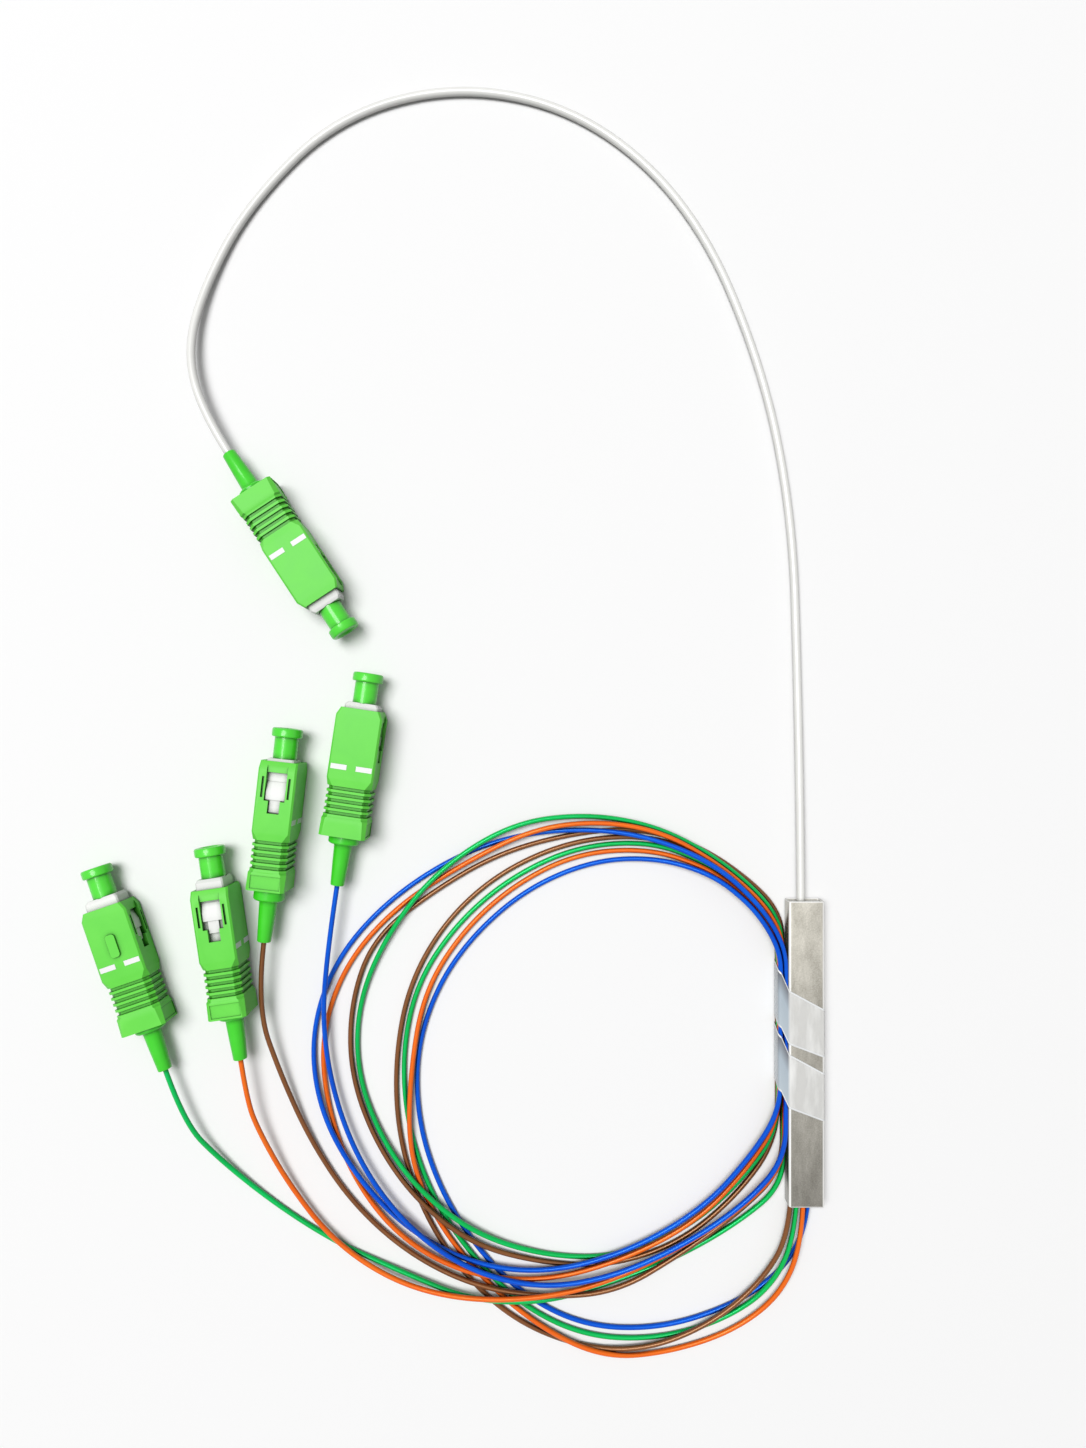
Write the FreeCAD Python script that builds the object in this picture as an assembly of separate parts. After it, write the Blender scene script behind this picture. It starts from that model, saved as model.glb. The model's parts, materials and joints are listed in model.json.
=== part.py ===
import FreeCAD, Part
import math
import os
from FreeCAD import Placement, Rotation, Vector

os.makedirs("parts", exist_ok=True)

# A 1 x 4 PLC fibre splitter: a steel mini tube with one input tail and four
# output tails, each ending in an SC/APC plug. All sizes are in millimetres.
# X and Y lie in the table, Z is up; the tube runs along Y, input end at +Y.

# Steel tube, its end seals and the optics inside it
tube_length = 60.0
tube_width = 7.0
tube_height = 4.0
tube_wall = 0.3
tube_corner = 0.5
tube_side = -2.5
tube_x = tube_side + tube_width / 2
seal_length = 5.0
seal_recess = 0.3
cast_gap = 0.05
film = 0.2
tail_pitch = 1.2
tail_row_x = 0.25
input_x = 0.3
fibre_z = 2.2
pad_width = 2.5
pad_height = 0.8
pad_half_length = 18.0
block_height = 1.8
chip_front = 10.0
chip_length = 12.0
input_block_length = 5.0
output_block_length = 8.0

# Tails: 1.0 strands lie pressed together, so each solid is a little thinner
strand = 1.0
strand_core = 0.96
input_cable = 1.7
cable_core = 1.66
tail_inset = 4.5

# Wrapping film round the tube and the eight strands beside it
wrap_left = tube_side - 2 * strand
wrap_right = tube_side + tube_width
wrap_middle = (wrap_left + wrap_right) / 2
wrap_inner_height = max(tube_height, 4 * strand)
wrap_corner = 0.45
wrap_band = 9.8
wrap_pitch = 12.5
wrap_top_drop = 6.8
wrap_first_band_y = 7.6

# SC plug, along its own axis: y = 0 at the nose of the plug frame, +y forward
sleeve_width = 9.0
sleeve_height = 7.4
sleeve_length = 25.0
frame_width = 6.6
frame_height = 5.4
frame_length = 19.0
slide_gap = 0.12
least_setback = 0.4
most_setback = 2.2
nose_bore = 4.9
nose_depth = 6.0
shoulder = 1.5
rear_bore = 4.8
ferrule_diameter = 2.5
ferrule_reach = 1.2
ferrule_back = 9.3
ferrule_travel = 1.0
end_face_angle = 8.0
flange_back = 9.6
spring_outer = 4.2
spring_inner = 3.2
rear_front = 14.0
barrel_diameter = 3.6
barrel_back = 27.0
boot_ring = 6.0
boot_front = 24.6
boot_ring_length = 3.2
boot_tip_diameter = 2.7
boot_back = 36.0
cap_barrel = 4.6
cap_reach = 4.2
cap_head = 5.9
cap_head_length = 1.75
key_height = 0.4

# Each plug: name, nose x, nose y, axis height, heading in degrees, roll in degrees,
# how far the outer sleeve stands behind the nose, and the tail it ends
wide_up = sleeve_height / 2
PLUGS = [
    ("input", -92.5, 87.7, wide_up + key_height, -56.73, 180.0, 1.8, input_cable),
    ("blue", -85.7, 68.8, wide_up + key_height, 81.5, 180.0, 1.2, strand),
    ("brown", -101.2, 58.0, sleeve_width / 2, 83.54, -90.0, 0.5, strand),
    ("orange", -115.1, 34.9, sleeve_width / 2, 98.38, -90.0, 1.9, strand),
    ("green", -136.6, 31.0, wide_up, 109.0, 0.0, 1.9, strand),
]

# Centre lines of the tails as they lie: each leaves the tube, passes twice
# through the wrap with a loop between, and runs out to its plug.
BLUE_ROUTE = [
    (2.05, -25.5, 2.2), (1.9, -36, 1.25), (-4.5, -46, 0.5), (-15.5, -52.3, 0.5),
    (-28.5, -55.9, 0.5), (-42.5, -55.3, 0.5), (-55, -49, 0.5), (-64.5, -39, 0.5),
    (-71.5, -27.5, 0.5), (-75.6, -14.5, 0.5), (-76, -0.5, 0.5), (-71.8, 12.5, 0.5),
    (-64.2, 23.2, 0.5), (-53.5, 32.2, 0.5), (-40.5, 37.6, 0.5), (-28, 38.2, 1.2),
    (-17.5, 35.2, 3.1), (-10.6, 29.9, 3.7), (-6.4, 24.6, 3.7), (-4, 19.3, 3.7),
    (-4, -10.8, 3.7), (-9.6, -20.3, 3), (-19, -31.2, 2.1), (-33.5, -39.8, 1.7),
    (-49.5, -44.2, 1.6), (-64.5, -42.6, 1.6), (-77.5, -35.6, 1.6), (-88, -24.8, 1.75),
    (-95.2, -11.5, 1.5), (-97, 3, 0.6), (-92.3, 17.5, 0.5), (-81.8, 29.6, 0.5),
    (-67.5, 38.9, 0.5), (-53.5, 43.3, 0.75), (-38.5, 44, 1.6), (-26, 41.4, 2.6),
    (-15.9, 36.4, 3.5), (-9.4, 30.4, 3.7), (-5.3, 25, 3.7), (-3, 19.6, 3.7),
    (-3, -20.5, 3.7), (-10.5, -29.6, 2.9), (-22, -37.6, 2.7), (-36.5, -44.3, 2.7),
    (-51, -46.7, 2.7), (-65, -43.3, 2.7), (-77, -35, 2.75), (-86, -23.5, 2.7),
    (-91.7, -10, 2.5), (-94.3, 5, 2.7), (-93, 20, 4.1), (-88.58, 49.51, 4.1),
]
ORANGE_ROUTE = [
    (0.85, -25.5, 2.2), (0.8, -36.5, 2.3), (-3, -48, 1.6), (-12.5, -56.2, 0.6),
    (-26, -60.6, 0.6), (-39, -60.8, 1.8), (-52, -55, 0.85), (-64, -44.7, 0.5),
    (-72.6, -33.2, 0.5), (-77.3, -20.5, 1.65), (-77.1, -5, 1.5), (-74.6, 10.8, 0.6),
    (-67.3, 22.8, 0.5), (-57, 32.4, 0.5), (-44, 39, 0.5), (-29.5, 40, 0.7),
    (-18, 36.2, 2.1), (-10.6, 29.9, 2.65), (-6.4, 24.6, 2.7), (-4, 19.3, 2.7),
    (-4, -13, 2.7), (-10.2, -23.2, 2), (-20, -33.8, 1.6), (-34.5, -41.5, 1.6),
    (-50.5, -45.9, 1.6), (-65.5, -44.6, 1.65), (-79, -37.4, 1.6), (-88.5, -26, 0.5),
    (-93.7, -12, 0.5), (-95, 2.5, 0.5), (-90.3, 16.6, 0.5), (-80.4, 28, 0.5),
    (-67, 36.8, 1.25), (-53, 43.9, 1.95), (-40, 45.6, 1.9), (-27.5, 43.6, 2.3),
    (-16.8, 37.6, 2.45), (-9.4, 30.4, 2.65), (-5.3, 25, 2.7), (-3, 19.6, 2.7),
    (-3, -22.3, 2.7), (-11.3, -31.3, 1.8), (-23.3, -39, 1.7), (-37, -45.6, 1.8),
    (-50.5, -48.5, 2.9), (-66, -48.9, 2.9), (-80, -45.7, 2.2), (-92.3, -37.8, 1.7),
    (-101, -26.5, 1.9), (-106.5, -15.5, 3.4), (-108.7, -8.6, 4.5), (-112.26, 15.61, 4.5),
]
GREEN_ROUTE = [
    (-0.35, -25.5, 2.2), (-0.6, -36.5, 2.1), (-5.5, -47.3, 1.6), (-15.5, -54.5, 0.5),
    (-28.5, -58, 0.5), (-42.5, -57.3, 0.5), (-55, -51.2, 0.5), (-65.2, -41, 0.5),
    (-73, -29.3, 0.5), (-77.7, -15.5, 0.5), (-78.8, -1, 0.5), (-75.9, 13, 0.5),
    (-68, 24.9, 0.5), (-57.2, 34.2, 0.5), (-43.8, 40.4, 0.5), (-29.2, 41.4, 0.5),
    (-18.2, 37.2, 1.3), (-10.6, 29.9, 1.6), (-6.4, 24.6, 1.7), (-4, 19.3, 1.7),
    (-4, -15.5, 1.7), (-11, -26, 0.9), (-21.8, -35.8, 0.5), (-36, -41.6, 0.5),
    (-49.5, -41.4, 0.5), (-63, -37, 1.6), (-74, -28.9, 2.15), (-82.5, -18.5, 1.2),
    (-87.8, -5, 0.5), (-87.6, 9, 0.6), (-82, 22.5, 1.4), (-72, 35.5, 2.1),
    (-57.5, 44.9, 2), (-43, 47, 1.6), (-29, 44.8, 1.5), (-17.2, 38.9, 1.5),
    (-9.4, 30.4, 1.6), (-5.3, 25, 1.7), (-3, 19.6, 1.7), (-3, -26.5, 1.7),
    (-11.5, -34.3, 0.8), (-23.8, -41.6, 0.5), (-37.5, -46.9, 0.5), (-51, -50.3, 1.4),
    (-65.5, -49.4, 1.8), (-78.5, -44.3, 1.1), (-91.5, -38.9, 0.5), (-104, -31, 0.5),
    (-115, -21.5, 1.6), (-121.3, -13.4, 3.7), (-130.25, 12.56, 3.7),
]
BROWN_ROUTE = [
    (-1.55, -25.5, 2.2), (-1.7, -36, 2.2), (-7.5, -46, 1.7), (-17, -54, 1.65),
    (-29.5, -59.3, 1.55), (-42, -59.9, 0.5), (-56.5, -54.3, 0.5), (-68, -43.4, 0.5),
    (-75.4, -30.8, 0.5), (-79.6, -17, 0.5), (-80.2, -2, 0.5), (-77.4, 13, 0.5),
    (-69.8, 26, 0.5), (-58.5, 35.8, 0.5), (-44, 41.8, 0.5), (-29, 42.6, 0.5),
    (-18.3, 38.2, 0.5), (-10.6, 29.9, 0.55), (-6.4, 24.6, 0.7), (-4, 19.3, 0.7),
    (-4, -18, 0.7), (-12, -29.3, 0.5), (-23.5, -38.8, 0.5), (-37.5, -43.4, 0.5),
    (-51, -42.7, 0.5), (-64.5, -38.6, 1.65), (-75.8, -29.6, 1.95), (-84.2, -18.2, 1),
    (-89.2, -4.5, 0.5), (-89, 9.5, 0.5), (-84.5, 22, 0.5), (-73, 31.2, 0.5),
    (-60, 38.8, 0.5), (-46, 42.8, 0.5), (-32, 44.2, 0.5), (-19, 40.4, 0.5),
    (-9.4, 30.4, 0.55), (-5.3, 25, 0.7), (-3, 19.6, 0.7), (-3, -24, 0.7),
    (-11.5, -32.6, 0.5), (-23.5, -40.6, 1.4), (-36, -47.7, 1.95), (-49.5, -48.9, 1.85),
    (-63.5, -47, 1.75), (-77, -41, 0.9), (-88.5, -31, 0.6), (-96.8, -18.5, 0.9),
    (-102.5, -4.5, 2.6), (-106.7, 9.5, 4.5), (-103.39, 38.62, 4.5),
]
WHITE_ROUTE = [
    (0.3, 25.5, 2.2), (0.4, 43, 1.6), (0, 73, 0.85), (-1, 106, 0.85),
    (-7, 136, 0.85), (-20, 166.5, 0.85), (-41, 186, 0.85), (-66.5, 192.3, 0.85),
    (-91.5, 186, 0.85), (-109.6, 168, 0.85), (-118.4, 150.5, 1.5), (-120.8, 137.5, 3.1),
    (-117.2, 125.4, 4.1), (-103.2, 104, 4.1),
]

def save(name, shape):
    shape.exportStep("parts/" + name + ".step")


def box(x0, x1, y0, y1, z0, z1):
    return Part.makeBox(x1 - x0, y1 - y0, z1 - z0, Vector(x0, y0, z0))


def rod(radius, y0, y1, x=0.0, z=0.0):
    return Part.makeCylinder(radius, y1 - y0, Vector(x, y0, z), Vector(0, 1, 0))


def bevelled(y, width, height, bevel):
    """A rectangle with cut corners, square to the Y axis."""
    a = width / 2
    b = height / 2
    corners = [
        (a, b - bevel), (a - bevel, b), (bevel - a, b), (-a, b - bevel),
        (-a, bevel - b), (bevel - a, -b), (a - bevel, -b), (a, bevel - b),
    ]
    points = [Vector(x, y, z) for x, z in corners]
    return Part.makePolygon(points + points[:1])


def skin(sections):
    """A flat-sided body through bevelled rectangles (y, width, height, bevel)."""
    wires = [bevelled(*section) for section in sections]
    return Part.makeLoft(wires, True, True)


def turned(profile):
    """A body of revolution about the Y axis from (radius, y) corners."""
    points = [Vector(r, y, 0) for r, y in profile]
    face = Part.Face(Part.makePolygon(points + points[:1]))
    return face.revolve(Vector(0, 0, 0), Vector(0, 1, 0), 360)


def rounded_bar(y0, y1, width, height, radius, x, z):
    """A bar along Y with rounded long edges, centred on (x, z)."""
    bar = box(x - width / 2, x + width / 2, y0, y1, z - height / 2, z + height / 2)
    long_edges = [e for e in bar.Edges if abs(e.Length - (y1 - y0)) < 1e-6]
    return bar.makeFillet(radius, long_edges)


# ---- tails -----------------------------------------------------------------

def path_edges(route):
    """Straight runs joined by tangent arcs through the bends of a route."""
    points = [Vector(*p) for p in route]
    edges = []
    start = points[0]
    for before, corner, after in zip(points, points[1:], points[2:]):
        back = before - corner
        ahead = after - corner
        turn = math.pi - back.getAngle(ahead)
        reach = 0.45 * min(back.Length, ahead.Length)
        radius = reach / math.tan(turn / 2)
        back.normalize()
        ahead.normalize()
        inward = (back + ahead).normalize()
        first = corner + back * reach
        middle = corner + inward * (radius / math.cos(turn / 2) - radius)
        last = corner + ahead * reach
        edges.append(Part.makeLine(start, first))
        edges.append(Part.Arc(first, middle, last).toShape())
        start = last
    edges.append(Part.makeLine(start, points[-1]))
    return edges


def tail(route, flats):
    """An eight-sided strand along a route, the flats at top, bottom and sides."""
    start = Vector(*route[0])
    heading = (Vector(*route[1]) - start).normalize()
    side = Vector(0, 0, 1).cross(heading).normalize()
    up = heading.cross(side)
    reach = flats / 2 / math.cos(math.pi / 8)
    corners = []
    for i in range(8):
        angle = (i + 0.5) * math.pi / 4
        corners.append(start + side * (reach * math.cos(angle)) + up * (reach * math.sin(angle)))
    section = Part.makePolygon(corners + corners[:1])
    return Part.Wire(path_edges(route)).makePipeShell([section], True, False)


# ---- tube ------------------------------------------------------------------

tube_z = film + tube_height / 2
half_tube = tube_length / 2
seal_out = half_tube - seal_recess
seal_in = seal_out - seal_length
inner_width = tube_width - 2 * tube_wall
inner_height = tube_height - 2 * tube_wall


def splitter_tube():
    outer = rounded_bar(-half_tube, half_tube, tube_width, tube_height, tube_corner, tube_x, tube_z)
    inner = rounded_bar(-half_tube - 1, half_tube + 1, inner_width, inner_height,
                        tube_corner - tube_wall, tube_x, tube_z)
    return outer.cut(inner)


def end_seal(y0, y1, routes, cable):
    """Cast plug with a hole along the first stretch of each tail."""
    plug = rounded_bar(y0, y1, inner_width, inner_height, tube_corner - tube_wall, tube_x, tube_z)
    for route in routes:
        start = Vector(*route[0])
        ahead = (Vector(*route[1]) - start).normalize()
        hole = Part.makeCylinder(cable / 2 + cast_gap, 3 * seal_length, start - ahead * seal_length, ahead)
        plug = plug.cut(hole)
    return plug


def optics():
    """The glued row inside the tube: pad, input block, chip and output block."""
    floor = film + tube_wall
    deck = floor + pad_height
    a = tube_x - pad_width / 2
    b = tube_x + pad_width / 2
    chip_back = chip_front - chip_length
    spans = {
        "input_fibre_block": (chip_front, chip_front + input_block_length),
        "splitter_chip": (chip_back, chip_front),
        "output_fibre_block": (chip_back - output_block_length, chip_back),
    }
    save("chip_pad", box(a, b, -pad_half_length, pad_half_length, floor, deck))
    for name, (y0, y1) in spans.items():
        save(name, box(a, b, y0, y1, deck, deck + block_height))


def input_fibre():
    start = Vector(tube_x, chip_front + input_block_length, fibre_z)
    end = Vector(input_x, half_tube - tail_inset, fibre_z)
    return Part.makeCylinder(0.2, (end - start).Length, start, end - start)


def output_ribbon():
    """Flat fan of four fibres from the output block to the outlet seal."""
    def slot(y, centre, width):
        points = [Vector(centre + sx * width / 2, y, fibre_z + sz * 0.15)
                  for sx, sz in ((1, 1), (-1, 1), (-1, -1), (1, -1))]
        return Part.makePolygon(points + points[:1])
    y0 = chip_front - chip_length - output_block_length
    wide = 3 * tail_pitch + 0.4
    sections = [slot(-seal_in, tail_row_x, wide), slot(-seal_in + 4, tail_row_x, wide), slot(y0, tube_x, 1.0)]
    return Part.makeLoft(sections, True, True)


# ---- wrap ------------------------------------------------------------------

def wrap_outline(offset):
    """Corners of the wrapped section, clockwise from the middle of the bottom."""
    left = wrap_left + wrap_corner
    right = wrap_right - wrap_corner
    low = film + wrap_corner
    high = film + wrap_inner_height - wrap_corner
    radius = wrap_corner + offset
    points = []
    for x, z, start in ((left, low, 270), (left, high, 180), (right, high, 90), (right, low, 0)):
        for i in range(4):
            angle = math.radians(start - 30 * i)
            points.append((x + radius * math.cos(angle), z + radius * math.sin(angle)))
    return points


def spiral_wrap():
    """Two turns of film; the front of each turn slopes more than the back."""
    inner = wrap_outline(0.0)
    outer = wrap_outline(film)
    middle = len(inner) // 2
    around = sum(math.dist(inner[i - 1], inner[i]) for i in range(len(inner)))
    top_run = math.dist(inner[middle - 1], inner[middle])
    rest_rate = (wrap_pitch - wrap_top_drop) / (around - top_run)
    y = wrap_first_band_y + wrap_top_drop / 2 + rest_rate * (around - top_run) / 2
    stations = [((wrap_middle, film), (wrap_middle, 0.0), y)]
    previous = (wrap_middle, film)
    for lap in range(2):
        for i, point in enumerate(inner):
            run = math.dist(previous, point)
            y -= wrap_top_drop if i == middle else run * rest_rate
            stations.append((point, outer[i], y))
            previous = point
        y -= rest_rate * math.dist(previous, (wrap_middle, film))
        stations.append(((wrap_middle, film), (wrap_middle, 0.0), y))
        previous = (wrap_middle, film)
    half = wrap_band / 2
    rows = []
    for (xi, zi), (xo, zo), y in stations:
        rows.append([Vector(xi, y - half, zi), Vector(xi, y + half, zi),
                     Vector(xo, y + half, zo), Vector(xo, y - half, zo)])
    faces = [Part.Face(Part.makePolygon(rows[0] + rows[0][:1]))]
    faces.append(Part.Face(Part.makePolygon(rows[-1] + rows[-1][:1])))
    for p, q in zip(rows, rows[1:]):
        for i, j in ((0, 1), (2, 3)):
            faces.append(Part.Face(Part.makePolygon([p[i], p[j], q[j], q[i], p[i]])))
        for i, j in ((1, 2), (3, 0)):
            faces.append(Part.Face(Part.makePolygon([p[i], p[j], q[j], p[i]])))
            faces.append(Part.Face(Part.makePolygon([p[i], q[j], q[i], p[i]])))
    shell = Part.makeShell(faces)
    shell.sewShape()
    return Part.Solid(shell)


# ---- SC plug ---------------------------------------------------------------

window_front = 2.1
window_back = 7.6
slot_back = 10.0


def outer_sleeve():
    """Push-pull grip: sloped nose, waist, five ribs, flared tail, side windows."""
    w = sleeve_width
    h = sleeve_height
    sections = [(0.0, w - 1.5, h - 0.2, 0.35), (-1.5, w, h, 0.35), (-13.7, w, h, 0.35)]
    sections.append((-15.3, w - 0.3, h - 0.3, 1.2))
    for i in range(5):
        rib = 15.3 + 1.2 * i
        sections.append((-rib - 0.1, w - 1.0, h - 1.0, 1.0))
        sections.append((-rib - 0.6, w - 1.0, h - 1.0, 1.0))
        sections.append((-rib - 0.7, w - 0.3, h - 0.3, 1.1))
        sections.append((-rib - 1.2, w - 0.3, h - 0.3, 1.1))
    sections.append((-21.6, w, h, 0.9))
    sections.append((-sleeve_length, w, h, 0.6))
    body = skin(sections)
    cavity_w = frame_width + 2 * slide_gap
    cavity_h = frame_height + 2 * slide_gap
    body = body.cut(box(-cavity_w / 2, cavity_w / 2, -sleeve_length - 1, 1, -cavity_h / 2, cavity_h / 2))
    body = body.cut(rod(boot_ring / 2 + 0.15, -sleeve_length - 1, -sleeve_length + 3.0))
    for side in (-1, 1):
        def cut_side(depth, y0, y1, z0, z1):
            x0, x1 = sorted((side * (w / 2 - depth), side * (w / 2 + 1)))
            return body.cut(box(x0, x1, y0, y1, z0, z1))
        body = cut_side(0.4, -window_front, 1, -2.0, 2.0)
        body = cut_side(1.5, -window_back, -window_front, -2.0, 2.0)
        body = cut_side(1.5, -slot_back, -window_back, -1.15, 1.15)
        for z in (-2.55, 2.55):
            body = cut_side(0.5, -7.0, -3.0, z - 0.22, z + 0.22)
        body = cut_side(0.15, -24.6, -22.0, -2.9, 2.9)
    key = box(-0.9, 0.9, -9.85, -5.35, h / 2 - 0.3, h / 2 + key_height)
    upright = [e for e in key.Edges if abs(e.Vertexes[0].Z - e.Vertexes[-1].Z) > 0.5]
    return body.fuse(key.makeFillet(0.6, upright))


def plug_frame():
    """Inner housing that takes the ferrule, with a latch block on each side."""
    w = frame_width
    h = frame_height
    body = skin([(0.0, w - 1.0, h - 0.6, 0.3), (-0.6, w, h, 0.3), (-frame_length, w, h, 0.3)])
    body = body.cut(rod(nose_bore / 2, -nose_depth, 1))
    body = body.cut(rod(1.5, -nose_depth - shoulder - 1, 1))
    half = rear_bore / 2
    body = body.cut(box(-half, half, -frame_length - 1, -nose_depth - shoulder, -half, half))
    for side in (-1, 1):
        ramp = [(w / 2 - 0.2, -4.4), (w / 2 + 0.1, -4.4), (w / 2 + 0.7, -6.3), (w / 2 + 0.7, -7.9),
                (w / 2 - 0.2, -7.9)]
        points = [Vector(side * x, y, -1.9) for x, y in ramp]
        block = Part.Face(Part.makePolygon(points + points[:1])).extrude(Vector(0, 0, 3.8))
        x0, x1 = sorted((side * (w / 2 - 0.2), side * (w / 2 + 0.55)))
        body = body.fuse([block, box(x0, x1, -10.3, -7.9, -1.05, 1.05)])
    return body.removeSplitter()


def ferrule():
    """Ceramic ferrule with its end polished at eight degrees."""
    r = ferrule_diameter / 2
    top = ferrule_reach
    body = turned([(0, -ferrule_back), (r, -ferrule_back), (r, top - 0.5), (r - 0.4, top), (0, top)])
    wedge = box(-3, 3, 0, 2, -3, 3)
    wedge.rotate(Vector(0, 0, 0), Vector(1, 0, 0), end_face_angle)
    wedge.translate(Vector(0, top - 0.1, 0))
    return body.cut(wedge)


def ferrule_holder():
    """Flanged carrier pressed on the ferrule, with the tail that guides the spring."""
    front = nose_depth + shoulder + 0.1
    flange = skin([(-front, 4.4, 4.4, 1.0), (-flange_back, 4.4, 4.4, 1.0)])
    body = flange.fuse(rod(1.1, -17.0, -flange_back))
    body = body.cut(rod(ferrule_diameter / 2, -ferrule_back, 0))
    return body.cut(rod(0.6, -18, 0))


def spring():
    return rod(spring_outer / 2, -rear_front, -flange_back).cut(rod(spring_inner / 2, -rear_front, -flange_back))


def rear_body(cable):
    """Closes the plug frame behind the spring and carries the boot."""
    spigot = skin([(-rear_front, 4.7, 4.7, 0.8), (-frame_length, 4.7, 4.7, 0.8)])
    flange = skin([(-frame_length, 6.2, 5.2, 0.5), (-frame_length - 1.5, 6.2, 5.2, 0.5)])
    body = spigot.fuse([flange, rod(barrel_diameter / 2, -barrel_back, -frame_length - 1.0)])
    body = body.cut(rod(1.2, -17.0 - ferrule_travel - 0.3, 0))
    return body.cut(rod(cable / 2 + 0.15, -barrel_back - 1, 0))


def boot(cable):
    """Strain relief: a ring that nests in the sleeve and a tapered tail."""
    bore = cable / 2 + 0.15
    barrel = barrel_diameter / 2
    ring = boot_ring / 2
    ring_back = boot_front + boot_ring_length
    return turned([
        (barrel, -boot_front), (ring - 0.3, -boot_front), (ring, -boot_front - 0.3),
        (ring, -ring_back + 0.3), (ring - 0.3, -ring_back), (barrel, -ring_back),
        (boot_tip_diameter / 2, -boot_back), (bore, -boot_back), (bore, -barrel_back),
        (barrel, -barrel_back),
    ])


def dust_cap():
    """Push-on cap: barrel inside the nose, thin bore over the ferrule, wide head."""
    r = cap_barrel / 2
    head = cap_head / 2
    bore = ferrule_diameter / 2 + 0.05
    front = cap_reach + cap_head_length
    return turned([
        (bore, -cap_reach), (r, -cap_reach), (r, cap_reach), (head - 0.25, cap_reach),
        (head, cap_reach + 0.25), (head, front - 0.35), (head - 0.35, front), (1.9, front),
        (1.5, front - 0.4), (0, front - 0.4), (0, ferrule_reach + 1.8), (bore, ferrule_reach + 1.8),
    ])


def place_plug(name, x, y, z, heading, roll, setback, cable):
    """Puts the pieces of one plug where it lies on the table."""
    turn = Rotation(Vector(0, 0, 1), heading - 90).multiply(Rotation(Vector(0, 1, 0), roll))
    seat = Placement(Vector(x, y, z), turn)
    pieces = {
        "sleeve": SLEEVE.translated(Vector(0, -setback, 0)),
        "plug_frame": FRAME,
        "ferrule": FERRULE,
        "ferrule_holder": HOLDER,
        "spring": SPRING,
        "rear_body": rear_body(cable),
        "boot": boot(cable),
        "dust_cap": CAP,
    }
    for piece, shape in pieces.items():
        placed = shape.copy()
        placed.Placement = seat.multiply(placed.Placement)
        save(name + "_" + piece, placed)


save("splitter_tube", splitter_tube())
outputs = [BLUE_ROUTE, ORANGE_ROUTE, GREEN_ROUTE, BROWN_ROUTE]
save("outlet_seal", end_seal(-seal_out, -seal_in, outputs, strand))
save("inlet_seal", end_seal(seal_in, seal_out, [WHITE_ROUTE], input_cable))
optics()
save("input_fibre", input_fibre())
save("output_ribbon", output_ribbon())
save("spiral_wrap", spiral_wrap())
save("cord_blue", tail(BLUE_ROUTE, strand_core))
save("cord_orange", tail(ORANGE_ROUTE, strand_core))
save("cord_green", tail(GREEN_ROUTE, strand_core))
save("cord_brown", tail(BROWN_ROUTE, strand_core))
save("cord_input", tail(WHITE_ROUTE, cable_core))

SLEEVE = outer_sleeve()
FRAME = plug_frame()
FERRULE = ferrule()
HOLDER = ferrule_holder()
SPRING = spring()
CAP = dust_cap()
for plug in PLUGS:
    place_plug(*plug)

print("cord radius (m): output tails", strand / 2000, "input tail", input_cable / 2000)
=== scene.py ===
import json
import math

import bmesh
import bpy
from mathutils import Matrix, Vector


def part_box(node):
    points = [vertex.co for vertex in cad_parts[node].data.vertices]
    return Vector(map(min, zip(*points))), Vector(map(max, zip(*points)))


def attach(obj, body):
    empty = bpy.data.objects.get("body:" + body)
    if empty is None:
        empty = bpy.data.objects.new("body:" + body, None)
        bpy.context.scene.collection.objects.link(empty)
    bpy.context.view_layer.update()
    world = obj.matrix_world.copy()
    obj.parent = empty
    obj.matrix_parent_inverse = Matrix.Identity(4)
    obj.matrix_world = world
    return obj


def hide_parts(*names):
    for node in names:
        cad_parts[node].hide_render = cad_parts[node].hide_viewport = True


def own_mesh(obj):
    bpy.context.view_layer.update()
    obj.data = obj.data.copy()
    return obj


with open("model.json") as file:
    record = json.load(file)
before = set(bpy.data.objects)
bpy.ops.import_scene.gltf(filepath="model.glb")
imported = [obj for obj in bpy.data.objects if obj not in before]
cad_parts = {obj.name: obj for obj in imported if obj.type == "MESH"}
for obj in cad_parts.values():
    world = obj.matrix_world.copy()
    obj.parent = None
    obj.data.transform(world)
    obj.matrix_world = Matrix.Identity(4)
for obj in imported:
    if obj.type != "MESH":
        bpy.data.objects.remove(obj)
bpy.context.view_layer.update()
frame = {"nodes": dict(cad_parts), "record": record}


# ---- camera -------------------------------------------------------------------
# Straight above the table, so that the whole splitter is in view: the tube upright at
# the right, its tails in two loops beside it, the plugs in a row over the loops.
scene = bpy.context.scene
camera = bpy.data.objects.new("camera", bpy.data.cameras.new("camera"))
scene.collection.objects.link(camera)
camera.location = (-0.05069, 0.06477, 0.2)
camera.data.sensor_fit = "VERTICAL"
camera.data.sensor_height = 24
camera.data.lens = 16.57
camera.data.clip_start = 0.01
scene.camera = camera
scene.view_settings.view_transform = "Standard"


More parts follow.
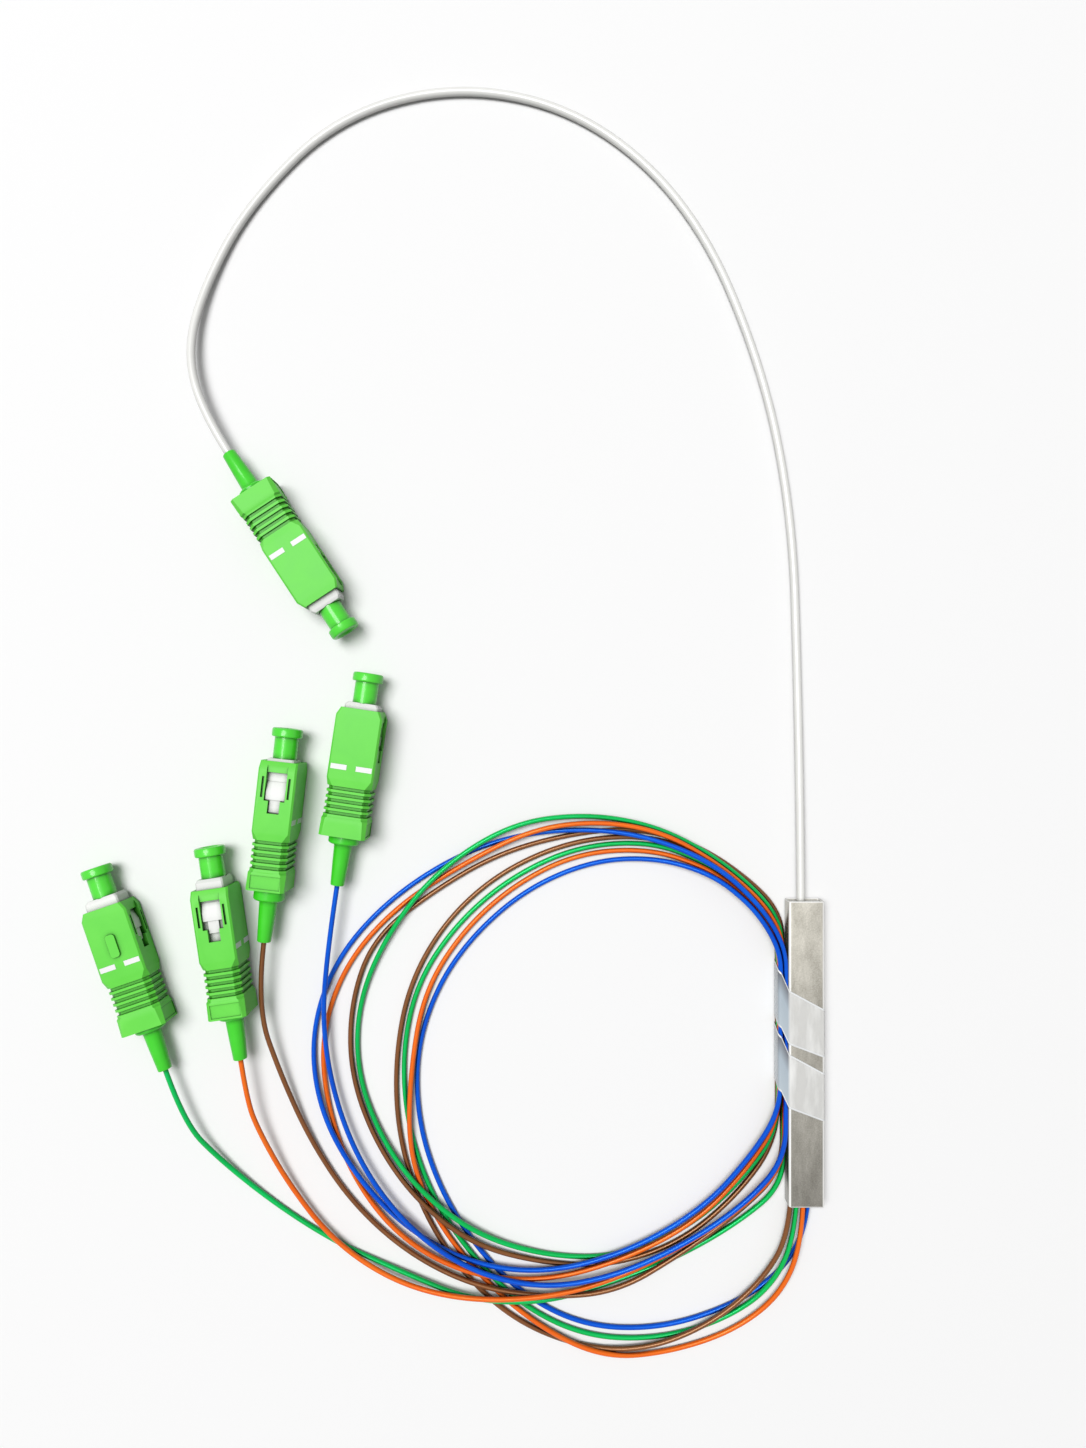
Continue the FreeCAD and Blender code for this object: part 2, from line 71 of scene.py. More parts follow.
# ---- table and light ----------------------------------------------------------
# A plain white table under a wide soft lamp high on the left, in a pale room. Table
# and room show white to the eye and in gloss, and throw back little light.
def table_top():
    """A board far wider than the view, with a dull white finish."""
    mesh = bpy.data.meshes.new("table")
    half = 4
    corners = [(-half, -half, 0), (half, -half, 0), (half, half, 0), (-half, half, 0)]
    mesh.from_pydata(corners, [], [(0, 1, 2, 3)])
    table = bpy.data.objects.new("table", mesh)
    scene.collection.objects.link(table)
    paint = bpy.data.materials.new("table_white")
    paint.use_nodes = True
    tree = paint.node_tree
    shader = tree.nodes["Principled BSDF"]
    shader.inputs["Roughness"].default_value = 0.9
    shader.inputs["Specular IOR Level"].default_value = 0.1
    seen = tree.nodes.new("ShaderNodeLightPath")
    tone = tree.nodes.new("ShaderNodeMix")
    tone.data_type = "RGBA"
    tone.inputs["A"].default_value = (0.25, 0.25, 0.25, 1)
    tone.inputs["B"].default_value = (0.95, 0.95, 0.95, 1)
    mirrored = tree.nodes.new("ShaderNodeMath")
    mirrored.operation = "MAXIMUM"
    either = tree.nodes.new("ShaderNodeMath")
    either.operation = "MAXIMUM"
    tree.links.new(seen.outputs["Is Glossy Ray"], mirrored.inputs[0])
    tree.links.new(seen.outputs["Is Transmission Ray"], mirrored.inputs[1])
    tree.links.new(seen.outputs["Is Camera Ray"], either.inputs[0])
    tree.links.new(mirrored.outputs["Value"], either.inputs[1])
    tree.links.new(either.outputs["Value"], tone.inputs["Factor"])
    tree.links.new(tone.outputs["Result"], shader.inputs["Base Color"])
    mesh.materials.append(paint)


def soft_lamp(name, place, size, power):
    """A square lamp over the table, turned to the middle of the splitter."""
    lamp = bpy.data.lights.new(name, "AREA")
    lamp.shape = "SQUARE"
    lamp.size = size
    lamp.energy = power
    obj = bpy.data.objects.new(name, lamp)
    scene.collection.objects.link(obj)
    obj.location = place
    middle = Vector((-0.05, 0.06, 0))
    aim = middle - Vector(place)
    obj.rotation_euler = aim.to_track_quat("-Z", "Y").to_euler()


def pale_room():
    """White where it is seen or mirrored, and a faint fill on everything else."""
    room = bpy.data.worlds.new("room")
    room.use_nodes = True
    tree = room.node_tree
    walls = tree.nodes["Background"]
    walls.inputs["Color"].default_value = (1, 1, 1, 1)
    glance = tree.nodes.new("ShaderNodeLightPath")
    shown = tree.nodes.new("ShaderNodeMath")
    shown.operation = "MAXIMUM"
    pale = tree.nodes.new("ShaderNodeMath")
    pale.operation = "MAXIMUM"
    level = tree.nodes.new("ShaderNodeMapRange")
    level.inputs["To Min"].default_value = 0.22
    level.inputs["To Max"].default_value = 0.97
    tree.links.new(glance.outputs["Is Glossy Ray"], shown.inputs[0])
    tree.links.new(glance.outputs["Is Transmission Ray"], shown.inputs[1])
    tree.links.new(glance.outputs["Is Camera Ray"], pale.inputs[0])
    tree.links.new(shown.outputs["Value"], pale.inputs[1])
    tree.links.new(pale.outputs["Value"], level.inputs["Value"])
    tree.links.new(level.outputs["Result"], walls.inputs["Strength"])
    scene.world = room


table_top()
soft_lamp("key_lamp", (-0.95, 0.68, 3.0), 1.6, 80)
soft_lamp("top_lamp", (-0.3, 0.4, 3.2), 1.8, 12)
pale_room()


# ---- tails --------------------------------------------------------------------
# Jacketed fibres: coloured plastic drawn round the glass, limp enough to lie in
# two loops. They leave the tube, pass twice through the wrap and end in a plug.
BLUE_ROUTE = [
    (0.00205, -0.0255, 0.0022), (0.0019, -0.036, 0.00125), (-0.0045, -0.046, 0.0005),
    (-0.0155, -0.0523, 0.0005), (-0.0285, -0.0559, 0.0005), (-0.0425, -0.0553, 0.0005),
    (-0.055, -0.049, 0.0005), (-0.0645, -0.039, 0.0005), (-0.0715, -0.0275, 0.0005),
    (-0.0756, -0.0145, 0.0005), (-0.076, -0.0005, 0.0005), (-0.0718, 0.0125, 0.0005),
    (-0.0642, 0.0232, 0.0005), (-0.0535, 0.0322, 0.0005), (-0.0405, 0.0376, 0.0005),
    (-0.028, 0.0382, 0.0012), (-0.0175, 0.0352, 0.0031), (-0.0106, 0.0299, 0.0037),
    (-0.0064, 0.0246, 0.0037), (-0.004, 0.0193, 0.0037), (-0.004, 0.0135, 0.0037),
    (-0.004, 0.0002, 0.0037), (-0.004, -0.0108, 0.0037), (-0.0096, -0.0203, 0.003),
    (-0.019, -0.0312, 0.0021), (-0.0335, -0.0398, 0.0017), (-0.0495, -0.0442, 0.0016),
    (-0.0645, -0.0426, 0.0016), (-0.0775, -0.0356, 0.0016), (-0.088, -0.0248, 0.00175),
    (-0.0952, -0.0115, 0.0015), (-0.097, 0.003, 0.0006), (-0.0923, 0.0175, 0.0005),
    (-0.0818, 0.0296, 0.0005), (-0.0675, 0.0389, 0.0005), (-0.0535, 0.0433, 0.00075),
    (-0.0385, 0.044, 0.0016), (-0.026, 0.0414, 0.0026), (-0.0159, 0.0364, 0.0035),
    (-0.0094, 0.0304, 0.0037), (-0.0053, 0.025, 0.0037), (-0.003, 0.0196, 0.0037),
    (-0.003, 0.0137, 0.0037), (-0.003, -0.0087, 0.0037), (-0.003, -0.0205, 0.0037),
    (-0.0105, -0.0296, 0.0029), (-0.022, -0.0376, 0.0027), (-0.0365, -0.0443, 0.0027),
    (-0.051, -0.0467, 0.0027), (-0.065, -0.0433, 0.0027), (-0.077, -0.035, 0.00275),
    (-0.086, -0.0235, 0.0027), (-0.0917, -0.01, 0.0025), (-0.0943, 0.005, 0.0027),
    (-0.093, 0.02, 0.0041), (-0.08925, 0.04506, 0.0041), (-0.08858, 0.04951, 0.0041),
]
ORANGE_ROUTE = [
    (0.00085, -0.0255, 0.0022), (0.0008, -0.0365, 0.0023), (-0.003, -0.048, 0.0016),
    (-0.0125, -0.0562, 0.0006), (-0.026, -0.0606, 0.0006), (-0.039, -0.0608, 0.0018),
    (-0.052, -0.055, 0.00085), (-0.064, -0.0447, 0.0005), (-0.0726, -0.0332, 0.0005),
    (-0.0773, -0.0205, 0.00165), (-0.0771, -0.005, 0.0015), (-0.0746, 0.0108, 0.0006),
    (-0.0673, 0.0228, 0.0005), (-0.057, 0.0324, 0.0005), (-0.044, 0.039, 0.0005),
    (-0.0295, 0.04, 0.0007), (-0.018, 0.0362, 0.0021), (-0.00992, 0.03042, 0.00265),
    (-0.00568, 0.02492, 0.0027), (-0.004, 0.0193, 0.0027), (-0.004, 0.0135, 0.0027),
    (-0.004, -0.0011, 0.0027), (-0.004, -0.013, 0.0027), (-0.0102, -0.0232, 0.002),
    (-0.02, -0.0338, 0.0016), (-0.0345, -0.0415, 0.0016), (-0.0505, -0.0459, 0.0016),
    (-0.0655, -0.0446, 0.00165), (-0.079, -0.0374, 0.0016), (-0.0885, -0.026, 0.0005),
    (-0.0937, -0.012, 0.0005), (-0.095, 0.0025, 0.0005), (-0.0903, 0.0166, 0.0005),
    (-0.0804, 0.028, 0.0005), (-0.067, 0.0368, 0.00125), (-0.053, 0.0439, 0.00195),
    (-0.04, 0.0456, 0.0019), (-0.0275, 0.0436, 0.0023), (-0.0168, 0.0376, 0.00245),
    (-0.00872, 0.03092, 0.00265), (-0.00458, 0.02532, 0.0027), (-0.003, 0.0196, 0.0027),
    (-0.003, 0.0137, 0.0027), (-0.003, -0.01, 0.0027), (-0.003, -0.0223, 0.0027),
    (-0.0113, -0.0313, 0.0018), (-0.0233, -0.039, 0.0017), (-0.037, -0.0456, 0.0018),
    (-0.0505, -0.0485, 0.0029), (-0.066, -0.0489, 0.0029), (-0.08, -0.0457, 0.0022),
    (-0.0923, -0.0378, 0.0017), (-0.101, -0.0265, 0.0019), (-0.1065, -0.0155, 0.0034),
    (-0.1087, -0.0086, 0.0045), (-0.1116, 0.01116, 0.0045), (-0.11226, 0.01561, 0.0045),
]
GREEN_ROUTE = [
    (-0.00035, -0.0255, 0.0022), (-0.0006, -0.0365, 0.0021), (-0.0055, -0.0473, 0.0016),
    (-0.0155, -0.0545, 0.0005), (-0.0285, -0.058, 0.0005), (-0.0425, -0.0573, 0.0005),
    (-0.055, -0.0512, 0.0005), (-0.0652, -0.041, 0.0005), (-0.073, -0.0293, 0.0005),
    (-0.0777, -0.0155, 0.0005), (-0.0788, -0.001, 0.0005), (-0.0759, 0.013, 0.0005),
    (-0.068, 0.0249, 0.0005), (-0.0572, 0.0342, 0.0005), (-0.0438, 0.0404, 0.0005),
    (-0.0292, 0.0414, 0.0005), (-0.0182, 0.0372, 0.0013), (-0.00924, 0.03094, 0.0016),
    (-0.00496, 0.02524, 0.0017), (-0.004, 0.0193, 0.0017), (-0.004, 0.0135, 0.0017),
    (-0.004, -0.0029, 0.0017), (-0.004, -0.0155, 0.0017), (-0.011, -0.026, 0.0009),
    (-0.0218, -0.0358, 0.0005), (-0.036, -0.0416, 0.0005), (-0.0495, -0.0414, 0.0005),
    (-0.063, -0.037, 0.0016), (-0.074, -0.0289, 0.00215), (-0.0825, -0.0185, 0.0012),
    (-0.0878, -0.005, 0.0005), (-0.0876, 0.009, 0.0006), (-0.082, 0.0225, 0.0014),
    (-0.072, 0.0355, 0.0021), (-0.0575, 0.0449, 0.002), (-0.043, 0.047, 0.0016),
    (-0.029, 0.0448, 0.0015), (-0.0172, 0.0389, 0.0015), (-0.00804, 0.03144, 0.0016),
    (-0.00386, 0.02564, 0.0017), (-0.003, 0.0196, 0.0017), (-0.003, 0.0137, 0.0017),
    (-0.003, -0.0149, 0.0017), (-0.003, -0.0265, 0.0017), (-0.0115, -0.0343, 0.0008),
    (-0.0238, -0.0416, 0.0005), (-0.0375, -0.0469, 0.0005), (-0.051, -0.0503, 0.0014),
    (-0.0655, -0.0494, 0.0018), (-0.0785, -0.0443, 0.0011), (-0.0915, -0.0389, 0.0005),
    (-0.104, -0.031, 0.0005), (-0.115, -0.0215, 0.0016), (-0.1213, -0.0134, 0.0037),
    (-0.12879, 0.00831, 0.0037), (-0.13025, 0.01256, 0.0037),
]
BROWN_ROUTE = [
    (-0.00155, -0.0255, 0.0022), (-0.0017, -0.036, 0.0022), (-0.0075, -0.046, 0.0017),
    (-0.017, -0.054, 0.00165), (-0.0295, -0.0593, 0.00155), (-0.042, -0.0599, 0.0005),
    (-0.0565, -0.0543, 0.0005), (-0.068, -0.0434, 0.0005), (-0.0754, -0.0308, 0.0005),
    (-0.0796, -0.017, 0.0005), (-0.0802, -0.002, 0.0005), (-0.0774, 0.013, 0.0005),
    (-0.0698, 0.026, 0.0005), (-0.0585, 0.0358, 0.0005), (-0.044, 0.0418, 0.0005),
    (-0.029, 0.0426, 0.0005), (-0.0183, 0.0382, 0.0005), (-0.00856, 0.03146, 0.00055),
    (-0.00424, 0.02556, 0.0007), (-0.004, 0.0193, 0.0007), (-0.004, 0.0135, 0.0007),
    (-0.004, -0.0042, 0.0007), (-0.004, -0.018, 0.0007), (-0.012, -0.0293, 0.0005),
    (-0.0235, -0.0388, 0.0005), (-0.0375, -0.0434, 0.0005), (-0.051, -0.0427, 0.0005),
    (-0.0645, -0.0386, 0.00165), (-0.0758, -0.0296, 0.00195), (-0.0842, -0.0182, 0.001),
    (-0.0892, -0.0045, 0.0005), (-0.089, 0.0095, 0.0005), (-0.0845, 0.022, 0.0005),
    (-0.073, 0.0312, 0.0005), (-0.06, 0.0388, 0.0005), (-0.046, 0.0428, 0.0005),
    (-0.032, 0.0442, 0.0005), (-0.019, 0.0404, 0.0005), (-0.00736, 0.03196, 0.00055),
    (-0.00314, 0.02596, 0.0007), (-0.003, 0.0196, 0.0007), (-0.003, 0.0137, 0.0007),
    (-0.003, -0.0119, 0.0007), (-0.003, -0.024, 0.0007), (-0.0115, -0.0326, 0.0005),
    (-0.0235, -0.0406, 0.0014), (-0.036, -0.0477, 0.00195), (-0.0495, -0.0489, 0.00185),
    (-0.0635, -0.047, 0.00175), (-0.077, -0.041, 0.0009), (-0.0885, -0.031, 0.0006),
    (-0.0968, -0.0185, 0.0009), (-0.1025, -0.0045, 0.0026), (-0.1067, 0.0095, 0.0045),
    (-0.1039, 0.03415, 0.0045), (-0.10339, 0.03862, 0.0045),
]
WHITE_ROUTE = [
    (0.0003, 0.0255, 0.0022), (0.0004, 0.043, 0.0016), (0, 0.073, 0.00085),
    (-0.001, 0.106, 0.00085), (-0.007, 0.136, 0.00085), (-0.02, 0.1665, 0.00085),
    (-0.041, 0.186, 0.00085), (-0.0665, 0.1923, 0.00085), (-0.0915, 0.186, 0.00085),
    (-0.1096, 0.168, 0.00085), (-0.1184, 0.1505, 0.0015), (-0.1208, 0.1375, 0.0031),
    (-0.1172, 0.1254, 0.0041), (-0.10566, 0.10776, 0.0041), (-0.1032, 0.104, 0.0041),
]


def jacket_tone_and_shade_effect():
    """A slow drift in tone, a faint drawn grain, and a painted shade mask where strands lie
    close.
    """
    group = bpy.data.node_groups.new("jacket_tone_and_shade", "ShaderNodeTree")
    group.interface.new_socket("Grain Scale", in_out="INPUT", socket_type="NodeSocketFloat")
    group.interface.new_socket("Strand Shade Reach", in_out="INPUT", socket_type="NodeSocketFloat")
    group.interface.new_socket("Tone", in_out="OUTPUT", socket_type="NodeSocketFloat")
    group.interface.new_socket("Painted Strand Shade", in_out="OUTPUT", socket_type="NodeSocketFloat")
    group.interface.new_socket("Normal", in_out="OUTPUT", socket_type="NodeSocketVector")
    tree = group.nodes
    given = tree.new("NodeGroupInput")
    close = tree.new("ShaderNodeAmbientOcclusion")
    close.samples = 6
    strand_shade_mask = tree.new("ShaderNodeMapRange")
    strand_shade_mask.inputs["From Min"].default_value = 0.5
    strand_shade_mask.inputs["From Max"].default_value = 0.95
    strand_shade_mask.inputs["To Min"].default_value = 1.0
    strand_shade_mask.inputs["To Max"].default_value = 0.0
    place = tree.new("ShaderNodeTexCoord")
    slow = tree.new("ShaderNodeTexNoise")
    slow.inputs["Scale"].default_value = 90
    slow.inputs["Detail"].default_value = 3
    fine = tree.new("ShaderNodeTexNoise")
    fine.inputs["Detail"].default_value = 2
    bump = tree.new("ShaderNodeBump")
    bump.inputs["Strength"].default_value = 0.05
    bump.inputs["Distance"].default_value = 0.00005
    out = tree.new("NodeGroupOutput")
    group.links.new(given.outputs["Grain Scale"], fine.inputs["Scale"])
    group.links.new(given.outputs["Strand Shade Reach"], close.inputs["Distance"])
    group.links.new(place.outputs["Object"], slow.inputs["Vector"])
    group.links.new(place.outputs["Object"], fine.inputs["Vector"])
    group.links.new(fine.outputs["Fac"], bump.inputs["Height"])
    group.links.new(close.outputs["AO"], strand_shade_mask.inputs["Value"])
    group.links.new(strand_shade_mask.outputs["Result"], out.inputs["Painted Strand Shade"])
    group.links.new(slow.outputs["Fac"], out.inputs["Tone"])
    group.links.new(bump.outputs["Normal"], out.inputs["Normal"])
    return group


jacket_tone_and_shade = jacket_tone_and_shade_effect()


def jacket_paint(name, deep, bright, shade, shine):
    """Satin jacket plastic between two tones of one colour, with painted shade where strands
    lie close.
    """
    paint = bpy.data.materials.new(name)
    paint.use_nodes = True
    tree = paint.node_tree
    shader = tree.nodes["Principled BSDF"]
    shader.inputs["Roughness"].default_value = 0.25
    shader.inputs["Specular IOR Level"].default_value = 1.0
    shader.inputs["Specular Tint"].default_value = (*shine, 1)
    shader.inputs["Coat Weight"].default_value = 0.12
    shader.inputs["Coat Roughness"].default_value = 0.12
    effect = tree.nodes.new("ShaderNodeGroup")
    effect.node_tree = jacket_tone_and_shade
    effect.inputs["Grain Scale"].default_value = 2600
    effect.inputs["Strand Shade Reach"].default_value = 0.001
    mix = tree.nodes.new("ShaderNodeMix")
    mix.data_type = "RGBA"
    mix.inputs["A"].default_value = (*deep, 1)
    mix.inputs["B"].default_value = (*bright, 1)
    between = tree.nodes.new("ShaderNodeMix")
    between.data_type = "RGBA"
    between.inputs["B"].default_value = (*shade, 1)
    tree.links.new(effect.outputs["Tone"], mix.inputs["Factor"])
    # painted shade: the jacket is darkened towards the shade colour where strands lie close to
    # each other and to the table
    tree.links.new(effect.outputs["Painted Strand Shade"], between.inputs["Factor"])
    tree.links.new(mix.outputs["Result"], between.inputs["A"])
    tree.links.new(between.outputs["Result"], shader.inputs["Base Color"])
    tree.links.new(effect.outputs["Normal"], shader.inputs["Normal"])
    return paint


def tail(name, route, radius, paint):
    """One smooth line through the lay of the tail, round in section."""
    curve = bpy.data.curves.new(name, "CURVE")
    curve.dimensions = "3D"
    curve.bevel_depth = radius
    curve.bevel_resolution = 5
    curve.resolution_u = 10
    curve.use_fill_caps = True
    line = curve.splines.new("NURBS")
    line.points.add(len(route) - 1)
    for point, place in zip(line.points, route):
        point.co = (*place, 1)
    line.order_u = 3
    line.use_endpoint_u = True
    curve.materials.append(paint)
    obj = bpy.data.objects.new(name, curve)
    scene.collection.objects.link(obj)
    return obj


# Each tail has its lay, the radius of its jacket, its length and its colour; the third colour
# is painted shade.
TAILS = {
    "blue": (BLUE_ROUTE, 0.0005, 0.7276,
             jacket_paint("blue_jacket", (0.0, 0.035, 0.5), (0.0, 0.13, 0.85),
                          (0.0, 0.0, 0.04), (0.05, 0.35, 1.0))),
    "orange": (ORANGE_ROUTE, 0.0005, 0.7286,
               jacket_paint("orange_jacket", (0.85, 0.08, 0.002), (0.95, 0.2, 0.012),
                            (0.12, 0.005, 0.0), (1.0, 0.4, 0.12))),
    "green": (GREEN_ROUTE, 0.0005, 0.7229,
              jacket_paint("green_jacket", (0.0, 0.36, 0.04), (0.0, 0.62, 0.12),
                           (0.0, 0.04, 0.002), (0.08, 1.0, 0.4))),
    "brown": (BROWN_ROUTE, 0.0005, 0.7378,
              jacket_paint("brown_jacket", (0.08, 0.02, 0.004), (0.24, 0.08, 0.022),
                           (0.006, 0.001, 0.0), (1.0, 0.55, 0.28))),
    "input": (WHITE_ROUTE, 0.00085, 0.3187,
              jacket_paint("white_jacket", (0.8, 0.8, 0.77), (0.9, 0.9, 0.87),
                           (0.35, 0.35, 0.32), (1.0, 1.0, 1.0))),
}
strands = {}
for key, (route, radius, length, paint) in TAILS.items():
    strands[key] = tail(key + "_tail", route, radius, paint)
    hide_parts("cord_" + key)
    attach(strands[key], "splitter")


# ---- steel tube ---------------------------------------------------------------
# Stainless tube, drawn and cut: its broad faces are satin and mottled, darker towards
# the outlet end, its narrow sides polished, and its edges carry a painted highlight.
# Cast adhesive closes both ends, and inside the chip sits between two glass fibre blocks on a
# steel pad.
def joined_facets():
    """Joins the facets of a moulded or folded piece, so that its round stretches shade
    smoothly and its sharp edges stay sharp."""
    group = bpy.data.node_groups.new("joined_facets", "GeometryNodeTree")
    group.interface.new_socket("Geometry", in_out="INPUT", socket_type="NodeSocketGeometry")
    group.interface.new_socket("Geometry", in_out="OUTPUT", socket_type="NodeSocketGeometry")
    start = group.nodes.new("NodeGroupInput")
    merge = group.nodes.new("GeometryNodeMergeByDistance")
    merge.inputs["Distance"].default_value = 2e-6
    smooth = group.nodes.new("GeometryNodeSetShadeSmooth")
    bend = group.nodes.new("GeometryNodeInputMeshEdgeAngle")
    gentle = group.nodes.new("FunctionNodeCompare")
    gentle.operation = "LESS_THAN"
    gentle.inputs[1].default_value = 0.5
    seams = group.nodes.new("GeometryNodeSetShadeSmooth")
    seams.domain = "EDGE"
    end = group.nodes.new("NodeGroupOutput")
    group.links.new(start.outputs[0], merge.inputs["Geometry"])
    group.links.new(merge.outputs["Geometry"], smooth.inputs["Geometry"])
    group.links.new(smooth.outputs["Geometry"], seams.inputs["Geometry"])
    group.links.new(bend.outputs["Unsigned Angle"], gentle.inputs[0])
    group.links.new(gentle.outputs["Result"], seams.inputs["Shade Smooth"])
    group.links.new(seams.outputs["Geometry"], end.inputs[0])
    return group


facets = joined_facets()


def soften(obj, radius):
    """Smooth round stretches and a small radius along the sharp edges."""
    join = obj.modifiers.new("joined_facets", "NODES")
    join.node_group = facets
    edge = obj.modifiers.new("edge_radius", "BEVEL")
    edge.width = radius
    edge.segments = 2
    edge.limit_method = "ANGLE"
    edge.angle_limit = 0.7
    edge.harden_normals = True


nodes = frame["nodes"]


def finish_node(name, paint, radius):
    """Gives a piece its material and its edge radius; its shape stays as it is."""
    obj = nodes[name]
    obj.data.materials.clear()
    obj.data.materials.append(paint)
    soften(obj, radius)


def tube_steel():
    """Mottled satin steel, darker towards the outlet end, polished where it faces sideways,
    with a painted highlight along its edges.
    """
    paint = bpy.data.materials.new("tube_steel")
    paint.use_nodes = True
    tree = paint.node_tree
    shader = tree.nodes["Principled BSDF"]
    place = tree.nodes.new("ShaderNodeTexCoord")
    spread = tree.nodes.new("ShaderNodeMapping")
    spread.inputs["Scale"].default_value = (1.0, 0.35, 1.0)
    mottle = tree.nodes.new("ShaderNodeTexNoise")
    mottle.inputs["Scale"].default_value = 420
    mottle.inputs["Detail"].default_value = 6
    mottle.inputs["Roughness"].default_value = 0.65
    grain = tree.nodes.new("ShaderNodeTexNoise")
    grain.inputs["Scale"].default_value = 3800
    grain.inputs["Detail"].default_value = 3
    both = tree.nodes.new("ShaderNodeMath")
    both.operation = "MULTIPLY_ADD"
    both.inputs[1].default_value = 0.55
    tone = tree.nodes.new("ShaderNodeValToRGB")
    tone.color_ramp.elements[0].position = 0.42
    tone.color_ramp.elements[0].color = (0.25, 0.235, 0.195, 1)
    tone.color_ramp.elements[1].position = 1.05
    tone.color_ramp.elements[1].color = (0.6, 0.575, 0.51, 1)
    reach = tree.nodes.new("ShaderNodeSeparateXYZ")
    outlet_end_falloff = tree.nodes.new("ShaderNodeMapRange")
    outlet_end_falloff.inputs["To Min"].default_value = 0.45
    outlet_end_falloff.inputs["To Max"].default_value = 1.0
    darkened_to_outlet = tree.nodes.new("ShaderNodeVectorMath")
    darkened_to_outlet.operation = "SCALE"
    facing = tree.nodes.new("ShaderNodeNewGeometry")
    square = tree.nodes.new("ShaderNodeVectorMath")
    square.operation = "ABSOLUTE"
    sides = tree.nodes.new("ShaderNodeSeparateXYZ")
    wider = tree.nodes.new("ShaderNodeMath")
    wider.operation = "MAXIMUM"
    widest = tree.nodes.new("ShaderNodeMath")
    widest.operation = "MAXIMUM"
    edge_highlight_mask = tree.nodes.new("ShaderNodeMapRange")
    edge_highlight_mask.inputs["From Min"].default_value = 0.95
    edge_highlight_mask.inputs["From Max"].default_value = 0.99
    edge_highlight_mask.inputs["To Min"].default_value = 1.0
    edge_highlight_mask.inputs["To Max"].default_value = 0.0
    painted_edge_highlight = tree.nodes.new("ShaderNodeMix")
    painted_edge_highlight.data_type = "RGBA"
    painted_edge_highlight.inputs["B"].default_value = (1.0, 1.0, 0.97, 1)
    metal = tree.nodes.new("ShaderNodeMapRange")
    metal.inputs["To Min"].default_value = 0.7
    metal.inputs["To Max"].default_value = 0.0
    satin = tree.nodes.new("ShaderNodeMapRange")
    satin.inputs["From Min"].default_value = 0.5
    satin.inputs["From Max"].default_value = 0.95
    satin.inputs["To Min"].default_value = 0.14
    satin.inputs["To Max"].default_value = 0.46
    bump = tree.nodes.new("ShaderNodeBump")
    bump.inputs["Strength"].default_value = 0.25
    bump.inputs["Distance"].default_value = 0.00003
    tree.links.new(place.outputs["Object"], spread.inputs["Vector"])
    tree.links.new(spread.outputs["Vector"], mottle.inputs["Vector"])
    tree.links.new(place.outputs["Object"], grain.inputs["Vector"])
    tree.links.new(grain.outputs["Fac"], both.inputs[0])
    tree.links.new(mottle.outputs["Fac"], both.inputs[2])
    tree.links.new(both.outputs["Value"], tone.inputs["Fac"])
    tree.links.new(place.outputs["Generated"], reach.inputs["Vector"])
    # darker towards the outlet end: the tone is scaled from 0.45 there to 1.0 at the input end
    tree.links.new(reach.outputs["Y"], outlet_end_falloff.inputs["Value"])
    tree.links.new(tone.outputs["Color"], darkened_to_outlet.inputs[0])
    tree.links.new(outlet_end_falloff.outputs["Result"], darkened_to_outlet.inputs["Scale"])
    tree.links.new(facing.outputs["True Normal"], square.inputs[0])
    tree.links.new(square.outputs["Vector"], sides.inputs["Vector"])
    tree.links.new(sides.outputs["X"], wider.inputs[0])
    tree.links.new(sides.outputs["Y"], wider.inputs[1])
    tree.links.new(wider.outputs["Value"], widest.inputs[0])
    tree.links.new(sides.outputs["Z"], widest.inputs[1])
    # painted highlight: bevelled edges are painted near-white and non-metallic so they read as
    # lit edges
    tree.links.new(widest.outputs["Value"], edge_highlight_mask.inputs["Value"])
    tree.links.new(edge_highlight_mask.outputs["Result"], painted_edge_highlight.inputs["Factor"])
    tree.links.new(darkened_to_outlet.outputs["Vector"], painted_edge_highlight.inputs["A"])
    tree.links.new(painted_edge_highlight.outputs["Result"], shader.inputs["Base Color"])
    tree.links.new(edge_highlight_mask.outputs["Result"], metal.inputs["Value"])
    tree.links.new(metal.outputs["Result"], shader.inputs["Metallic"])
    tree.links.new(sides.outputs["Z"], satin.inputs["Value"])
    tree.links.new(satin.outputs["Result"], shader.inputs["Roughness"])
    tree.links.new(both.outputs["Value"], bump.inputs["Height"])
    tree.links.new(bump.outputs["Normal"], shader.inputs["Normal"])
    return paint


def cast_adhesive():
    """Clear-grey epoxy with a slightly uneven, glossy set surface."""
    paint = bpy.data.materials.new("cast_adhesive")
    paint.use_nodes = True
    tree = paint.node_tree
    shader = tree.nodes["Principled BSDF"]
    shader.inputs["Roughness"].default_value = 0.25
    place = tree.nodes.new("ShaderNodeTexCoord")
    cloud = tree.nodes.new("ShaderNodeTexNoise")
    cloud.inputs["Scale"].default_value = 700
    tone = tree.nodes.new("ShaderNodeValToRGB")
    tone.color_ramp.elements[0].color = (0.55, 0.54, 0.5, 1)
    tone.color_ramp.elements[1].color = (0.78, 0.77, 0.72, 1)
    bump = tree.nodes.new("ShaderNodeBump")
    bump.inputs["Strength"].default_value = 0.4
    bump.inputs["Distance"].default_value = 0.0001
    tree.links.new(place.outputs["Object"], cloud.inputs["Vector"])
    tree.links.new(cloud.outputs["Fac"], tone.inputs["Fac"])
    tree.links.new(tone.outputs["Color"], shader.inputs["Base Color"])
    tree.links.new(cloud.outputs["Fac"], bump.inputs["Height"])
    tree.links.new(bump.outputs["Normal"], shader.inputs["Normal"])
    return paint


